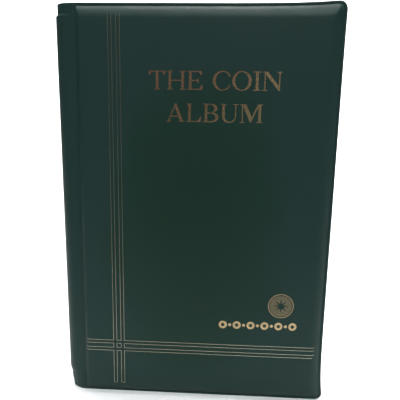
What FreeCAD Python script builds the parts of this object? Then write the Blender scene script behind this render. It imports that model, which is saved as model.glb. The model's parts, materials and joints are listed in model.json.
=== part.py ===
"""A welded-vinyl coin album that stands closed on its foot edge.

Frame: +Z from foot to head, the front cover faces -Y, the spine is at -X and the fore edge at +X.
The origin is under the middle of the closed album, on the surface that it stands on.
Lengths are in millimetres. The back cover is made of the same pieces as the front, turned over.
"""

import FreeCAD
import Part
import math
import os
import Sketcher

from FreeCAD import Placement, Rotation, Vector

DIMENSIONS = [
    # outside
    ("album_height", 195.0, "foot to head"),
    ("album_thick", 28.0, "front crown to back crown"),
    ("cover_reach", 123.25, "hinge axis to the cover's fore edge"),
    ("spine_reach", 10.4, "hinge axis to the back of the spine"),
    # a cover: film, foam, board, film, welded together round the rim
    ("skin_film", 0.5, "outer vinyl"),
    ("foam_thick", 1.5, "foam pad"),
    ("board_thick", 2.0, "grey board"),
    ("lining_film", 0.4, "inner vinyl"),
    ("weld_depth", 3.0, "crown to the plane of the welds"),
    ("weld_film", 0.3, "each film where it is pressed in a weld"),
    ("rim_width", 1.5, "flat welded rim"),
    ("rim_corner", 4.2, "radius of the rim at the fore edge"),
    ("pad_corner", 3.2, "radius of the padded part's corners at the fore edge"),
    ("skin_round", 1.0, "shoulder of the pad"),
    ("lining_round", 0.8, "shoulder of the lining"),
    ("filling_gap", 0.1, "play round the foam"),
    ("board_inset", 2.2, "edge of the pad to the edge of the board"),
    ("board_corner", 2.0, "radius of the board's corners at the fore edge"),
    # the hinge welds
    ("hinge_half", 0.75, "half the width of a hinge strip"),
    ("hinge_film", 0.5, "thickness of a hinge strip"),
    ("hinge_land", 0.3, "flat weld between a hinge strip and the pad"),
    # the spine, a channel of three layers with round corners
    ("spine_corner", 6.0, "outer radius of its corners"),
    ("stiffener_thick", 0.8, "card"),
    ("stiffener_start", 1.5, "hinge axis to the card's edges"),
    ("stiffener_foot", 12.0, "skin that stands past the card at the foot"),
    ("stiffener_head", 7.0, "skin that stands past the card at the head"),
    # the binding: page margins and guards, riveted in one stack
    ("guard_front", 5.25, "hinge axis to the guards' front faces"),
    ("guard_back", 6.2, "hinge axis to the guards' back faces"),
    ("end_guard", 1.0, "thickness of the first and the last guard"),
    ("rivet_radius", 1.5, "shank"),
    ("rivet_head", 2.6, "radius of a head"),
    ("rivet_head_thick", 0.5, "height of a head"),
    ("rivet_pitch", 70.0, "from one rivet to the next"),
    # the pages
    ("page_height", 180.0, "foot to head"),
    ("page_reach", 112.75, "crease to the page's fore edge"),
    ("page_crease", 6.0, "cover's hinge axis to the pages' creases"),
    ("page_pitch", 2.2, "from one page to the next"),
    ("page_film", 0.25, "backing film"),
    ("page_corner", 4.0, "radius at the page's fore edge"),
    ("tab_gap", 0.3, "between a page and the margin that it turns on"),
    ("front_film", 0.2, "pocket film"),
    ("film_start", 6.0, "crease to the edge of the pocket film"),
    ("film_inset", 0.5, "page edge to pocket film edge"),
    # the pockets
    ("pocket_size", 31.5, "inside the welds, across and up"),
    ("pocket_rise", 0.725, "height that the pocket film stands off"),
    ("pitch_across", 34.5, "from one pocket to the next"),
    ("pitch_up", 35.0, "from one pocket to the next"),
    ("first_across", 8.5, "crease to the first pocket"),
    ("first_up", 4.5, "page's foot to the first pocket"),
    ("slit_inset", 2.25, "side of a pocket to the slot that a coin goes in by"),
    ("slit_drop", 3.0, "top of a pocket to that slot"),
    ("slit_tall", 1.2, "height of that slot"),
]
PAGES = 8
RIVETS = 3
POCKETS_ACROSS = 3
POCKETS_UP = 5
PARTS_FOLDER = "parts"

HINGE_X = "(dims.spine_reach - dims.cover_reach) / 2"
WELD_Y = "(dims.album_thick / 2 - dims.weld_depth)"
COVER_STACK = "(dims.skin_film + dims.foam_thick + dims.board_thick + dims.lining_film)"
PAGE_FOOT = "(dims.album_height - dims.page_height) / 2"
LEFT_TURN = 1
RIGHT_TURN = -1

doc = FreeCAD.newDocument("coin_album")
sheet = doc.addObject("Spreadsheet::Sheet", "dims")
sub_parts = []


def fill_sheet():
    """One row for each driving dimension: its alias, its value and what it is."""
    for row, (alias, value, note) in enumerate(DIMENSIONS, start=1):
        sheet.set(f"A{row}", alias)
        sheet.set(f"B{row}", str(value))
        sheet.set(f"C{row}", note)
        sheet.setAlias(f"B{row}", alias)
    doc.recompute()


def size(expression):
    """The value that an expression in the sheet's cells has now."""
    return float(sheet.evalExpression(expression))


# ---------------------------------------------------------------- small tools


def new_sketch(body, role, name):
    """A sketch on one of the body's own origin planes."""
    sketch = body.newObject("Sketcher::SketchObject", name)
    plane = next(f for f in body.Origin.OriginFeatures if f.Role == role)
    sketch.AttachmentSupport = [(plane, "")]
    sketch.MapMode = "FlatFace"
    return sketch


def bind(sketch, constraint, expression):
    """Adds a constraint whose value follows the sheet."""
    index = sketch.addConstraint(constraint)
    sketch.setExpression(f"Constraints[{index}]", expression)


def bind_point(sketch, geometry, end, corner):
    """Holds one end of a line or an arc at a place that is given as two expressions."""
    for kind, expression in zip(("DistanceX", "DistanceY"), corner):
        value = size(expression)
        if value < 0:
            constraint = Sketcher.Constraint(kind, geometry, end, -1, 1, -value)
            bind(sketch, constraint, f"-({expression})")
        else:
            constraint = Sketcher.Constraint(kind, -1, 1, geometry, end, value)
            bind(sketch, constraint, expression)


def arc_between(start, end, radius, turn):
    """The shorter arc between two points, turning left or right on its way."""
    chord = end - start
    half = chord.Length / 2
    sagitta = radius - math.sqrt(radius * radius - half * half)
    outward = Vector(chord.y, -chord.x, 0).normalize() * (turn * sagitta)
    return Part.Arc(start, (start + end) / 2 + outward, end)


def add_path(sketch, corners, arcs=None):
    """A closed outline through the corners, which are pairs of expressions.

    arcs gives the sides that aren't straight: the side's number to its radius and its turn.
    """
    arcs = arcs or {}
    points = [Vector(size(across), size(up), 0) for across, up in corners]
    sides = []
    for number, start in enumerate(points):
        end = points[(number + 1) % len(points)]
        if number in arcs:
            radius, turn = arcs[number]
            index = sketch.addGeometry(arc_between(start, end, size(radius), turn))
            bind(sketch, Sketcher.Constraint("Radius", index, size(radius)), radius)
            sides.append((index, 1, 2) if turn == LEFT_TURN else (index, 2, 1))
        else:
            sides.append((sketch.addGeometry(Part.LineSegment(start, end)), 1, 2))
    for number, (index, start_end, _) in enumerate(sides):
        before, _, before_end = sides[number - 1]
        sketch.addConstraint(Sketcher.Constraint("Coincident", before, before_end, index, start_end))
        bind_point(sketch, index, start_end, corners[number])


def add_rectangle(sketch, left, right, low, high):
    add_path(sketch, [(left, low), (right, low), (right, high), (left, high)])


def add_tongue(sketch, left, right, low, high, corner):
    """A rectangle whose two corners on the right are rounded."""
    corners = [
        (left, low),
        (f"{right} - {corner}", low),
        (right, f"{low} + {corner}"),
        (right, f"{high} - {corner}"),
        (f"{right} - {corner}", high),
        (left, high),
    ]
    rounded = (corner, LEFT_TURN)
    add_path(sketch, corners, {1: rounded, 3: rounded})


def add_pad(body, sketch, length, inward=False):
    """Adds the sketch's outline to the body, along its normal or, inward, against it."""
    feature = body.newObject("PartDesign::Pad", "Pad")
    feature.Profile = sketch
    feature.setExpression("Length", length)
    feature.Reversed = inward
    doc.recompute()
    return feature


def add_pocket(body, sketch, length, along_normal=True):
    """Cuts the sketch's outline out of the body, and makes sure that something was cut."""
    before = body.Shape.Volume
    feature = body.newObject("PartDesign::Pocket", "Pocket")
    feature.Profile = sketch
    feature.setExpression("Length", length)
    feature.Reversed = along_normal
    doc.recompute()
    if feature.Shape.Volume >= before:
        raise RuntimeError(f"{body.Label}: a pocket removed nothing")
    return feature


def add_crown_fillet(body, feature, crown, radius):
    """Rounds every edge that lies in the plane y = crown."""
    names = []
    for number, edge in enumerate(feature.Shape.Edges, start=1):
        box = edge.BoundBox
        if box.YLength < 0.001 and abs(box.YMin - crown) < 0.001:
            names.append(f"Edge{number}")
    rounded = body.newObject("PartDesign::Fillet", "Fillet")
    rounded.Base = (feature, names)
    rounded.setExpression("Radius", radius)
    doc.recompute()


def keep(thing, label, placement):
    """Lists an object as a sub-part, at its place in the album."""
    thing.Label = label
    thing.Placement = placement
    sub_parts.append(thing)


# ---------------------------------------------------------------- covers
# A cover is drawn with X from its hinge axis, Z from its foot, the plane of the welds at
# Y = 0 and its outside towards -Y.


def cover_placement(side):
    """Puts a cover's piece at the front (side -1) or, turned over, at the back (side 1)."""
    place = Vector(size(HINGE_X), side * size(WELD_Y), 0)
    if side < 0:
        return Placement(place, Rotation())
    place.z = size("dims.album_height")
    return Placement(place, Rotation(Vector(1, 0, 0), 180))


def make_shell(label, side, film, rise, shoulder, inner):
    """One film of a cover: the welded rim and, inside it, a hollow dome over the filling."""
    dome_left = "(dims.hinge_half + dims.hinge_land)"
    dome_right = "(dims.cover_reach - dims.rim_width)"
    dome_high = "(dims.album_height - dims.rim_width)"

    body = doc.addObject("PartDesign::Body", label)
    rim = new_sketch(body, "XZ_Plane", "rim")
    add_tongue(
        rim, "dims.hinge_half", "dims.cover_reach", "0", "dims.album_height", "dims.rim_corner"
    )
    add_pad(body, rim, "dims.weld_film", inward=inner)

    dome = new_sketch(body, "XZ_Plane", "dome")
    add_tongue(dome, dome_left, dome_right, "dims.rim_width", dome_high, "dims.pad_corner")
    feature = add_pad(body, dome, rise, inward=inner)

    hollow = new_sketch(body, "XZ_Plane", "hollow")
    add_tongue(
        hollow,
        f"{dome_left} + {film}",
        f"{dome_right} - {film}",
        f"dims.rim_width + {film}",
        f"{dome_high} - {film}",
        f"(dims.pad_corner - {film})",
    )
    feature = add_pocket(body, hollow, f"{rise} - {film}", along_normal=not inner)
    crown = size(rise) if inner else -size(rise)
    add_crown_fillet(body, feature, crown, shoulder)
    keep(body, label, cover_placement(side))


def make_filling(label, side, thickness, base, inset, corner):
    """The board or the foam pad of a cover: a plate between the films, from base outwards."""
    body = doc.addObject("PartDesign::Body", label)
    outline = new_sketch(body, "XZ_Plane", "outline")
    outline.setExpression("AttachmentOffset.Base.z", base)
    add_tongue(
        outline,
        f"dims.hinge_half + dims.hinge_land + {inset}",
        f"(dims.cover_reach - dims.rim_width - ({inset}))",
        f"dims.rim_width + {inset}",
        f"(dims.album_height - dims.rim_width - ({inset}))",
        corner,
    )
    add_pad(body, outline, thickness)
    keep(body, label, cover_placement(side))


def make_cover(name, side):
    """Skin, foam, board and lining of one cover, from the outside in."""
    foam_base = "dims.weld_depth - dims.skin_film - dims.foam_thick"
    board_base = f"{foam_base} - dims.board_thick"
    lining_rise = f"({COVER_STACK} - dims.weld_depth)"
    make_shell(
        f"{name}_cover_skin", side, "dims.skin_film", "dims.weld_depth", "dims.skin_round", False
    )
    foam_inset = "dims.skin_film + dims.filling_gap"
    foam_corner = "(dims.pad_corner - dims.skin_film)"
    make_filling(
        f"{name}_foam_pad", side, "dims.foam_thick", foam_base, foam_inset, foam_corner
    )
    make_filling(
        f"{name}_board", side, "dims.board_thick", board_base, "dims.board_inset",
        "dims.board_corner",
    )
    make_shell(
        f"{name}_lining", side, "dims.lining_film", lining_rise, "dims.lining_round", True
    )


def make_hinge_strip(name, side):
    """The thin weld that a cover folds on."""
    strip = doc.addObject("Part::Box", f"{name}_hinge_strip")
    strip.setExpression("Length", "2 * dims.hinge_half")
    strip.setExpression("Width", "dims.hinge_film")
    strip.setExpression("Height", "dims.album_height")
    x = size(f"{HINGE_X} - dims.hinge_half")
    y = side * size(WELD_Y) - size("dims.hinge_film") / 2
    keep(strip, f"{name}_hinge_strip", Placement(Vector(x, y, 0), Rotation()))


# ---------------------------------------------------------------- spine
# The layers are drawn in plan, with X from the covers' hinge axis. A layer is known by the
# depths of its two faces under the outside of the skin.

SKIN_Y = f"({WELD_Y} + dims.weld_film)"
CARD_DEPTH = "dims.skin_film"
LINING_DEPTH = f"({CARD_DEPTH} + dims.stiffener_thick)"
INNER_DEPTH = f"({LINING_DEPTH} + dims.lining_film)"
SPINE_END_X = "-(dims.hinge_half)"
CORNER_X = "-(dims.spine_reach - dims.spine_corner)"
CORNER_Y = f"({SKIN_Y} - dims.spine_corner)"


def channel_side(end, depth):
    """Half of a channel's line at a depth, from its end on one side to the middle of the back."""
    across = f"({SKIN_Y} - {depth})"
    return [*end, (CORNER_X, across), (f"-(dims.spine_reach - {depth})", CORNER_Y)]


def mirrored(corners):
    return [(across, f"-({up})") for across, up in reversed(corners)]


def make_spine_layer(label, outer_end, outer, inner_end, inner, height, lift="0"):
    """A bent layer between two depths, each with the corners at its end beside the hinge."""
    outside = channel_side(outer_end, outer)
    inside = channel_side(inner_end, inner)
    back_in = mirrored(inside)[::-1]
    corners = outside + mirrored(outside) + back_in + inside[::-1]
    turns_out = len(outside) - 2
    first_in = 2 * len(outside)
    arcs = {
        turns_out: (f"(dims.spine_corner - {outer})", LEFT_TURN),
        len(outside): (f"(dims.spine_corner - {outer})", LEFT_TURN),
        first_in + len(inside) - 2: (f"(dims.spine_corner - {inner})", RIGHT_TURN),
        first_in + len(inside): (f"(dims.spine_corner - {inner})", RIGHT_TURN),
    }
    body = doc.addObject("PartDesign::Body", label)
    bend = new_sketch(body, "XY_Plane", "bend")
    add_path(bend, corners, arcs)
    add_pad(body, bend, height)
    keep(body, label, Placement(Vector(size(HINGE_X), 0, size(lift)), Rotation()))


def make_spine():
    """Skin, card stiffener and lining. Skin and lining are welded together beside the hinges."""
    weld_y = f"({SKIN_Y} - {CARD_DEPTH})"
    make_spine_layer(
        "spine_skin",
        [(SPINE_END_X, SKIN_Y)],
        "0",
        [(SPINE_END_X, weld_y)],
        CARD_DEPTH,
        "dims.album_height",
    )
    card_end = "-(dims.stiffener_start)"
    make_spine_layer(
        "spine_stiffener",
        [(card_end, weld_y)],
        CARD_DEPTH,
        [(card_end, f"({SKIN_Y} - {LINING_DEPTH})")],
        LINING_DEPTH,
        "dims.album_height - dims.stiffener_foot - dims.stiffener_head",
        "dims.stiffener_foot",
    )
    lip_x = "-(dims.hinge_half + dims.lining_film)"
    make_spine_layer(
        "spine_lining",
        [(SPINE_END_X, weld_y), (lip_x, weld_y), (lip_x, f"({SKIN_Y} - {LINING_DEPTH})")],
        LINING_DEPTH,
        [(SPINE_END_X, f"({SKIN_Y} - {INNER_DEPTH})")],
        INNER_DEPTH,
        "dims.album_height",
    )


# ---------------------------------------------------------------- binding
# The stack is drawn with X from the covers' hinge axis and Z from the pages' foot.

STACK_HALF = f"({PAGES} / 2 * dims.page_pitch - (dims.page_pitch - dims.page_film) / 2 + dims.end_guard)"
GUARD_BACK = "-(dims.guard_back)"


def page_y(number):
    """Where a page lies in the closed album. Page 1 is the one next to the front cover."""
    return (number - (PAGES + 1) / 2) * size("dims.page_pitch")


def bound(kind, name, sizes):
    """A primitive whose properties follow the sheet."""
    thing = doc.addObject(kind, name)
    for prop, expression in sizes.items():
        thing.setExpression(prop, expression)
    return thing


def rivet_holes_at():
    """Heights of the rivets above the pages' foot."""
    middle = size("dims.page_height") / 2
    return [
        middle + (number - (RIVETS - 1) / 2) * size("dims.rivet_pitch")
        for number in range(RIVETS)
    ]


def rivet_cylinders(name, radius, length, start):
    """A cylinder across the stack at each rivet, from start onwards along Y."""
    across = Rotation(Vector(1, 0, 0), -90)
    cylinders = []
    for z in rivet_holes_at():
        cylinder = bound("Part::Cylinder", name, {"Radius": radius, "Height": length})
        cylinder.Placement = Placement(Vector(0, start, z), across)
        cylinders.append(cylinder)
    return cylinders


def riveted_strips(label, strips, front):
    """Strips of the stack's depth, given as (y, thickness), with the rivets' holes in them."""
    boxes = []
    for y, thickness in strips:
        sizes = {
            "Length": f"{front} - {GUARD_BACK}",
            "Width": thickness,
            "Height": "dims.page_height",
        }
        box = bound("Part::Box", f"{label}_strip", sizes)
        box.Placement = Placement(Vector(size(GUARD_BACK), y, 0), Rotation())
        boxes.append(box)
    stack = doc.addObject("Part::Compound", f"{label}_stack")
    stack.Links = boxes
    holes = doc.addObject("Part::MultiFuse", f"{label}_holes")
    holes.Shapes = rivet_cylinders(
        f"{label}_hole", "dims.rivet_radius", f"2 * {STACK_HALF}", -size(STACK_HALF)
    )
    cut = doc.addObject("Part::Cut", label)
    cut.Base = stack
    cut.Tool = holes
    keep(cut, label, Placement(Vector(size(HINGE_X), 0, size(PAGE_FOOT)), Rotation()))


def make_binding():
    """The pages' margins, the guards between them and the rivets through them all."""
    half_film = size("dims.page_film") / 2
    margins = [
        (page_y(number) - half_film, "dims.page_film") for number in range(1, PAGES + 1)
    ]
    riveted_strips("page_margins", margins, "(dims.page_crease - dims.tab_gap)")

    guards = [(-size(STACK_HALF), "dims.end_guard")]
    for number in range(1, PAGES):
        guards.append((page_y(number) + half_film, "dims.page_pitch - dims.page_film"))
    guards.append((page_y(PAGES) + half_film, "dims.end_guard"))
    riveted_strips("page_guards", guards, "dims.guard_front")

    half = size(STACK_HALF)
    head = size("dims.rivet_head_thick")
    pieces = rivet_cylinders("shank", "dims.rivet_radius", f"2 * {STACK_HALF}", -half)
    for start in (-half - head, half):
        pieces += rivet_cylinders("head", "dims.rivet_head", "dims.rivet_head_thick", start)
    rivets = doc.addObject("Part::MultiFuse", "binding_rivets")
    rivets.Shapes = pieces
    place = Placement(Vector(size(HINGE_X), 0, size(PAGE_FOOT)), Rotation())
    keep(rivets, "binding_rivets", place)


# ---------------------------------------------------------------- pages
# A page is drawn with X from its crease, Z from its foot, its backing film from Y = 0
# towards +Y and its pockets towards -Y.


def page_placement(number):
    y = page_y(number) - size("dims.page_film") / 2
    return Placement(
        Vector(size(f"{HINGE_X} + dims.page_crease"), y, size(PAGE_FOOT)), Rotation()
    )


def add_pocket_grid(sketch, inset_across, low, tall):
    """The same rectangle in every pocket of a page, at its height above the pocket's foot."""
    for column in range(POCKETS_ACROSS):
        left = f"dims.first_across + {column} * dims.pitch_across"
        for row in range(POCKETS_UP):
            foot = f"dims.first_up + {row} * dims.pitch_up + {low}"
            add_rectangle(
                sketch,
                f"{left} + {inset_across}",
                f"{left} + dims.pocket_size - {inset_across}",
                foot,
                f"{foot} + {tall}",
            )


def make_page(number):
    """The backing film of a page and the film with the pockets that is welded to it."""
    label = f"page_{number:02d}"
    backing = doc.addObject("PartDesign::Body", label)
    outline = new_sketch(backing, "XZ_Plane", "outline")
    add_tongue(outline, "0", "dims.page_reach", "0", "dims.page_height", "dims.page_corner")
    add_pad(backing, outline, "dims.page_film", inward=True)
    keep(backing, label, page_placement(number))

    pockets = doc.addObject("PartDesign::Body", f"{label}_pockets")
    outline = new_sketch(pockets, "XZ_Plane", "outline")
    add_tongue(
        outline,
        "dims.film_start",
        "(dims.page_reach - dims.film_inset)",
        "dims.film_inset",
        "(dims.page_height - dims.film_inset)",
        "(dims.page_corner - dims.film_inset)",
    )
    add_pad(pockets, outline, "dims.front_film")
    domes = new_sketch(pockets, "XZ_Plane", "domes")
    add_pocket_grid(domes, "0", "0", "dims.pocket_size")
    add_pad(pockets, domes, "dims.pocket_rise")
    hollows = new_sketch(pockets, "XZ_Plane", "hollows")
    add_pocket_grid(
        hollows, "dims.front_film", "dims.front_film", "dims.pocket_size - 2 * dims.front_film"
    )
    add_pocket(pockets, hollows, "dims.pocket_rise - dims.front_film")
    slits = new_sketch(pockets, "XZ_Plane", "slits")
    slit_low = "dims.pocket_size - dims.slit_drop - dims.slit_tall"
    add_pocket_grid(slits, "dims.slit_inset", slit_low, "dims.slit_tall")
    add_pocket(pockets, slits, "dims.pocket_rise")
    keep(pockets, f"{label}_pockets", page_placement(number))


# ---------------------------------------------------------------- check and export


def check_document():
    """Stops on any failed object or bad shape."""
    doc.recompute()
    for thing in doc.Objects:
        if "Invalid" in thing.State or "Error" in thing.State:
            raise RuntimeError(f"{thing.Label} failed: {thing.State}")
    for part in sub_parts:
        if part.Shape.isNull() or not part.Shape.isValid() or not part.Shape.Solids:
            raise RuntimeError(f"{part.Label} has no valid solid")


def export_parts():
    os.makedirs(PARTS_FOLDER, exist_ok=True)
    for part in sub_parts:
        part.Shape.exportStep(os.path.join(PARTS_FOLDER, f"{part.Label}.step"))
        print(f"{part.Label}: {len(part.Shape.Solids)} solid(s), {part.Shape.Volume:.0f} mm3")


fill_sheet()
make_cover("front", -1)
make_cover("back", 1)
make_hinge_strip("front", -1)
make_hinge_strip("back", 1)
make_spine()
make_binding()
for page_number in range(1, PAGES + 1):
    make_page(page_number)
check_document()
export_parts()
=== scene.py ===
"""The looks of a welded-vinyl coin album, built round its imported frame.

Shapes are worked out in millimetres, in the frame's own axes, and stored in metres: +Z up, the
front cover towards -Y, the spine at -X. Every film is a closed sheet between two grids of points.
"""

import json
import math

import bmesh
import bpy
import numpy as np
from mathutils import Matrix, Vector


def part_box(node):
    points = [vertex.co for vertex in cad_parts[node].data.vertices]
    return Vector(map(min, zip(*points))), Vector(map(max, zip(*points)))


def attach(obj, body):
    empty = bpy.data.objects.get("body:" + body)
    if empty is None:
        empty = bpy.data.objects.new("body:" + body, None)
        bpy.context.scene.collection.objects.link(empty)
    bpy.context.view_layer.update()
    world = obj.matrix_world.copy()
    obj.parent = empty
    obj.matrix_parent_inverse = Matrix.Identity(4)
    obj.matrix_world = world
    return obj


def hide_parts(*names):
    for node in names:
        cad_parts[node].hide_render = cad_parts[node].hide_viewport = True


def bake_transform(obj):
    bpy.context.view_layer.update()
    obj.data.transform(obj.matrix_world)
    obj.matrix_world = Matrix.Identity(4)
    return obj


MM = 0.001

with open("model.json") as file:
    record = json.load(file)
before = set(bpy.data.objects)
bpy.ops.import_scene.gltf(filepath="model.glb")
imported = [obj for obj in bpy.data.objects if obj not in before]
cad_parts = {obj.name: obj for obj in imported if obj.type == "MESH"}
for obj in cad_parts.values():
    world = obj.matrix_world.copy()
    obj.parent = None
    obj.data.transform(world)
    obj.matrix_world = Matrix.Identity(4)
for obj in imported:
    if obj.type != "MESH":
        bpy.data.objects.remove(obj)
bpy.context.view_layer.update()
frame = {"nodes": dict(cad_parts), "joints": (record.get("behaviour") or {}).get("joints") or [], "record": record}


def box_mm(node):
    """The low and high corners of a CAD node."""
    low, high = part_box(node)
    return np.array(low) / MM, np.array(high) / MM


def joint_at(name):
    """Where a joint's axis stands."""
    found = next(j for j in frame["joints"] if j["name"] == name)
    return np.array(found["pos_m"]) / MM


# ---------------------------------------------------------------- sizes from the frame

skin_low, skin_high = box_mm("front_cover_skin")
HINGE_X = joint_at("front_cover_hinge")[0]
WELD_Y = -joint_at("front_cover_hinge")[1]
COVER_LEFT = skin_low[0]
COVER_RIGHT = skin_high[0]
HEIGHT = skin_high[2]
SKIN_RISE = skin_high[1] - skin_low[1]
HINGE_HALF = COVER_LEFT - HINGE_X
LINING_RISE = box_mm("front_lining")[1][1] + WELD_Y
BOARD_OUT = -WELD_Y - box_mm("front_board")[0][1]
SPINE_BACK = box_mm("spine_skin")[0][0]

# as in the CAD
WELD_FILM = 0.3
RIM = 1.5
HINGE_LAND = 0.3
RIM_CORNER = 4.2
SKIN_FILM = 0.5
LINING_FILM = 0.4
SPINE_CORNER = 6.0
CARD_THICK = 0.8
POCKETS_ACROSS = 3
POCKETS_UP = 5
PAGES = 8

# how fine the meshes are
STEP_ACROSS = 2.5
STEP_UP = 3.0
SHARP_DEG = 40
HINGE_POINTS = 13
LAND_POINTS = 9
CORNER_POINTS = 15
BACK_POINTS = 7
RING_POINTS = 48

# ---------------------------------------------------------------- shape functions


def ease(t):
    """From 0 to 1, level at both ends."""
    t = np.clip(t, 0, 1)
    return t * t * (3 - 2 * t)


def swell(t, power=2.2):
    """From 0 to 1, steep at the start and level at the end, as a pressed edge rises."""
    t = np.clip(t, 0, 1)
    return (1 - (1 - t) ** power) ** (1 / power)


def arch(t, start_deg=44.0):
    """From 0 to 1 along a circle's arc that starts at a slope and ends level."""
    t = np.clip(t, 0, 1)
    radius = 1 / math.sin(math.radians(start_deg))
    low = radius * math.cos(math.radians(start_deg))
    return (np.sqrt(radius**2 - (1 - t) ** 2) - low) / (radius - low)


def soft_min(a, b, reach):
    """The smaller of two distances, with the corner between them rounded."""
    mix = np.clip(0.5 + 0.5 * (b - a) / reach, 0, 1)
    return b + (a - b) * mix - reach * mix * (1 - mix)


def ripple(x, z):
    """A slow unevenness of film over foam, from -1 to 1."""
    slow = np.sin(0.052 * x + 1.3 * np.sin(0.021 * z)) * np.sin(0.037 * z + 0.8)
    quick = np.sin(0.131 * x + 0.4 + 0.9 * np.sin(0.047 * z)) * np.sin(0.093 * z + 2.1)
    return 0.7 * slow + 0.3 * quick


def pucker(s):
    """Uneven tucks along a weld, from -1 to 1, at a distance s along it."""
    return 0.6 * np.sin(0.47 * s + 1.1 * np.sin(0.083 * s)) + 0.4 * np.sin(1.13 * s + 0.7)


def graded(low, high, low_ends, high_ends, step):
    """Grid lines: at given distances from each end, and evenly spaced between."""
    start, stop = low + low_ends[-1], high - high_ends[-1]
    count = max(2, int(round((stop - start) / step)) + 1)
    middle = list(np.linspace(start, stop, count))
    before = [low + e for e in low_ends[:-1]]
    after = [high - e for e in high_ends[-2::-1]]
    return np.array(before + middle + after)


# ---------------------------------------------------------------- mesh building


def mesh_object(name, verts, faces):
    """A mesh from points in millimetres, smooth except along its sharp edges."""
    mesh = bpy.data.meshes.new(name)
    mesh.from_pydata([tuple(v) for v in np.asarray(verts, float) * MM], [], faces)
    tidy = bmesh.new()
    tidy.from_mesh(mesh)
    loose = [v for v in tidy.verts if not v.link_faces]
    bmesh.ops.delete(tidy, geom=loose, context="VERTS")
    bmesh.ops.recalc_face_normals(tidy, faces=tidy.faces)
    tidy.to_mesh(mesh)
    tidy.free()
    mesh.polygons.foreach_set("use_smooth", [True] * len(mesh.polygons))
    mesh.set_sharp_from_angle(angle=math.radians(SHARP_DEG))
    thing = bpy.data.objects.new(name, mesh)
    bpy.context.scene.collection.objects.link(thing)
    return thing


def film(name, outer, inner, kept=None):
    """A closed sheet between two grids of points, with holes where kept is False."""
    rows, cols = outer.shape[:2]
    if kept is None:
        kept = np.ones((rows - 1, cols - 1), bool)
    verts = np.concatenate([outer.reshape(-1, 3), inner.reshape(-1, 3)])
    under = rows * cols
    framed = np.pad(kept, 1)
    faces = []
    for i, j in zip(*np.nonzero(kept)):
        a, d = i * cols + j, i * cols + j + 1
        b, c = a + cols, d + cols
        faces.append((a, b, c, d))
        faces.append((d + under, c + under, b + under, a + under))
        sides = (
            (framed[i, j + 1], a, d),
            (framed[i + 2, j + 1], c, b),
            (framed[i + 1, j], b, a),
            (framed[i + 1, j + 2], d, c),
        )
        for filled, p, q in sides:
            if not filled:
                faces.append((p, q, q + under, p + under))
    return mesh_object(name, verts, faces)


def stacked(x, y, z):
    """A grid of points from grids of their three places."""
    return np.stack(np.broadcast_arrays(x, y, z), axis=-1).astype(float)


def round_right_corners(x, z, right, low, high, radius):
    """Bends a grid's square corners on its right side into quarter circles."""
    centre_x = right - radius
    for centre_z, way in ((high - radius, 1), (low + radius, -1)):
        across, up = x - centre_x, way * (z - centre_z)
        inside = (across > 0) & (up > 0)
        reach = np.hypot(across, up)
        scale = np.where(inside, np.maximum(across, up) / np.where(reach > 0, reach, 1), 1)
        x = np.where(inside, centre_x + across * scale, x)
        z = np.where(inside, centre_z + way * up * scale, z)
    return x, z


# ---------------------------------------------------------------- covers

EDGE_LINES = (
    0, 0.1, 0.25, 0.6, 1.0, 1.15, 1.3, 1.4, 1.5, 1.6, 1.8, 2.1, 2.5, 3.0, 3.6, 4.3, 5.1, 6, 7, 8.2
)
HINGE_LINES = (0, 0.1, 0.2, 0.3, 0.36, 0.45, 0.6, 0.8, 1.05, 1.4, 1.8, 2.3, 3, 3.8, 4.8, 6)

# how far in the outer film's slopes reach, from the rim and from the hinge
SHOULDER = 6.0
HINGE_SHOULDER = 2.2
SLOPE_BLEND = 0.06

# the outer film's slow rise, unevenness and tucks: heights and reaches
CROWN = 0.12
CROWN_REACH = 45
RIPPLE = 0.05
RIPPLE_REACH = 12
PUCKER = 0.05
PUCKER_INSET = 2.2
PUCKER_WIDTH = 1.3
PUCKER_REACH = 3

# the inner film's slopes and unevenness
LINING_SHOULDER = 2.4
LINING_HINGE_SHOULDER = 2.0
LINING_POWER = 1.8
LINING_ROOM = 0.06
LINING_RIPPLE = 0.05
LINING_RIPPLE_REACH = 10

# the fine groove in the welds
GROOVE_INSET = 1.3
GROOVE_WIDTH = 0.13
SKIN_GROOVE = 0.09
LINING_GROOVE = 0.07
WELD_ROUND = 0.25

# how far inside the welds a film parts from them
FILM_PARTS = 0.15

# the lean of the hinge's welds
LEAN_SLOPE = 0.0035
LEAN_LEVEL = 190
LEAN_REACH = 36

# how far the free corners stand out and up, and the lengths over which that fades
FLARE_SIDE = 16
FLARE_TOP = 14
FOOT_OUT = 2.25
FOOT_OUT_LENGTH = 9.0
HEAD_OUT = 0.3
HEAD_OUT_LENGTH = 8.0
HEAD_UP = 1.7
HEAD_UP_LENGTH = 14.0

# the foam's edges, and its clearances from the outer film and the board
FOAM_INSET = 4.8
FOAM_HINGE_INSET = 2.5
FOAM_FILM_GAP = 0.03
FOAM_BOARD_GAP = 0.02

# sets the back's unevenness apart from the front's
BACK_SHIFT = 25


def cover_grid():
    """Grid of a cover: places after the corners are rounded, and distances from the edges."""
    xs = graded(COVER_LEFT, COVER_RIGHT, HINGE_LINES, EDGE_LINES, STEP_ACROSS)
    zs = graded(0, HEIGHT, EDGE_LINES, EDGE_LINES, STEP_UP)
    x, z = np.meshgrid(xs, zs, indexing="ij")
    inset = cover_inset(x, z)
    x, z = round_right_corners(x, z, COVER_RIGHT, 0, HEIGHT, RIM_CORNER)
    x, z = flare_corners(lean_cover(x, z), z)
    return x, z, inset


def lean(z):
    """How far left of upright the hinge's welds stand at a height."""
    return LEAN_SLOPE * (LEAN_LEVEL - z)


def lean_cover(x, z):
    """Sets a cover's places beside its hinge over, with the hinge's weld."""
    return x - lean(z) * ease(1 - (x - COVER_LEFT) / LEAN_REACH)


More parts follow.
